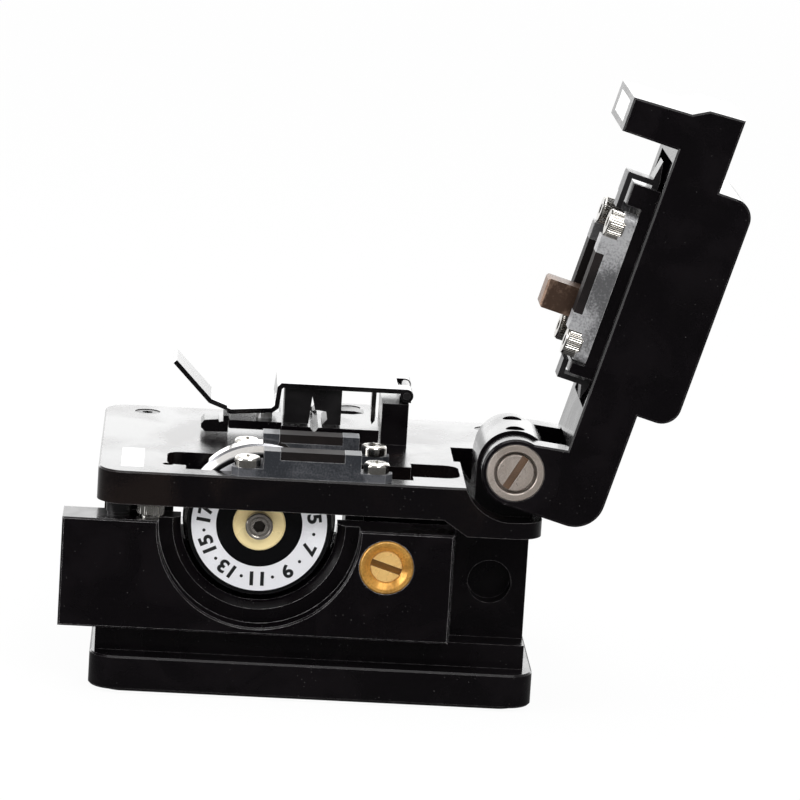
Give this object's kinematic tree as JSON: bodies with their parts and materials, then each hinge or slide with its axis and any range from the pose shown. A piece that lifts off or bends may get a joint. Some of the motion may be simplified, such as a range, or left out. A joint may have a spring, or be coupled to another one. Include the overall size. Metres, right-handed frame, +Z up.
{
  "type": "fibre cleaver",
  "caption": "Bench cleaver for single optical fibres: hinged lid with a sprung clamp, numbered blade wheel on a sliding carriage, two anvils and a fibre clamp leaf.",
  "frame": {"origin": "centre of the underside, on the surface that the cleaver stands on", "axes": "+Z up; +Y from the front, where the carriage is pushed, to the lid hinge at the rear; +X along the fibre, the hinge and the blade axle, towards the numbered dial"},
  "size_m": [0.05, 0.0966, 0.0914],
  "materials": {
    "black_anodised": "satin black anodised, fine blasted grain",
    "rubber": "matt black rubber",
    "bright_screw": "bright zinc, knurled",
    "black_steel": "blackened steel",
    "magnet": "bright nickel plated",
    "cast_grey": "grey, fine grained",
    "polished_steel": "ground and polished",
    "nickel": "warm nickel",
    "brass": "turned brass",
    "bronze": "brown sintered bronze",
    "carbide": "ground carbide",
    "spring_steel": "bright spring steel strip"
  },
  "bodies": {
    "frame": {"rubber_mat": "rubber", "base_plate": "black_anodised", "base_screws": "bright_screw", "main_frame": "black_anodised", "slide_rail": "polished_steel", "rail_screws": "bright_screw", "platform": "black_anodised", "platform_screws": "bright_screw", "front_magnet": "magnet", "near_anvil": "cast_grey", "far_anvil": "cast_grey", "anvil_pads": "rubber", "anvil_screws": "bright_screw", "hinge_block": "black_anodised", "hinge_set_screws": "black_steel", "hinge_pin": "bright_screw", "holder_base": "black_anodised", "holder_screws": "bright_screw", "holder_arm": "black_anodised", "holder_knob": "black_anodised", "leaf_magnet": "magnet", "leaf_post": "black_anodised", "leaf_pin": "polished_steel"},
    "lid": {"lid_shell": "black_anodised", "near_hinge_bush": "nickel", "far_hinge_bush": "nickel", "hook_magnet": "magnet"},
    "clamp": {"clamp_carrier": "black_anodised", "carrier_rods": "polished_steel", "near_clamp_bar": "cast_grey", "far_clamp_bar": "cast_grey", "clamp_pads": "rubber", "clamp_screws": "bright_screw", "tip_clip": "black_steel", "heel_clip": "black_steel"},
    "hammer": {"hammer_block": "bronze", "hammer_rod": "polished_steel"},
    "carriage": {"carriage_body": "black_anodised", "slider_block": "polished_steel", "slider_screws": "bright_screw", "axle_bearing": "bronze", "blade_height_screw": "bright_screw", "height_lock_screw": "black_steel", "brass_bush": "brass"},
    "eccentric": {"eccentric_screw": "brass"},
    "blade_wheel": {"wheel_axle": "polished_steel", "rear_flange": "polished_steel", "blade": "carbide", "front_flange": "polished_steel", "dial": "black_anodised", "brass_hub": "brass", "hub_screw": "bright_screw"},
    "leaf": {"clamp_leaf": "spring_steel", "leaf_block": "black_anodised", "leaf_finger": "black_steel"}
  },
  "joints": [
    {"name": "lid_hinge", "type": "hinge", "parent": "frame", "child": "lid", "pos_m": [0.0147, 0.0279, 0.0358], "axis": [1, 0, 0], "range_deg": [0, 106]},
    {"name": "clamp_slide", "type": "slide", "parent": "lid", "child": "clamp", "axis": [0, 0.9613, -0.2756], "range_m": [0, 0.0017]},
    {"name": "hammer_slide", "type": "slide", "parent": "lid", "child": "hammer", "axis": [0, 0.9613, -0.2756], "range_m": [0, 0.0059]},
    {"name": "carriage_slide", "type": "slide", "parent": "frame", "child": "carriage", "axis": [0, 1, 0], "range_m": [0, 0.011]},
    {"name": "wheel_turn", "type": "hinge", "parent": "carriage", "child": "blade_wheel", "pos_m": [0.0166, -0.0087, 0.0254], "axis": [1, 0, 0], "continuous": true},
    {"name": "eccentric_turn", "type": "hinge", "parent": "carriage", "child": "eccentric", "pos_m": [0.0225, 0.01005, 0.0207], "axis": [1, 0, 0], "range_deg": [-180, 180]},
    {"name": "leaf_hinge", "type": "hinge", "parent": "frame", "child": "leaf", "pos_m": [-0.01025, 0.0129, 0.0408], "axis": [-1, 0, 0], "range_deg": [0, 95]}
  ],
  "couplings": [
    {"joint": "clamp_slide", "follows": "lid_hinge", "m_per_rad": 0.000918},
    {"joint": "hammer_slide", "follows": "lid_hinge", "m_per_rad": 0.003188}
  ]
}
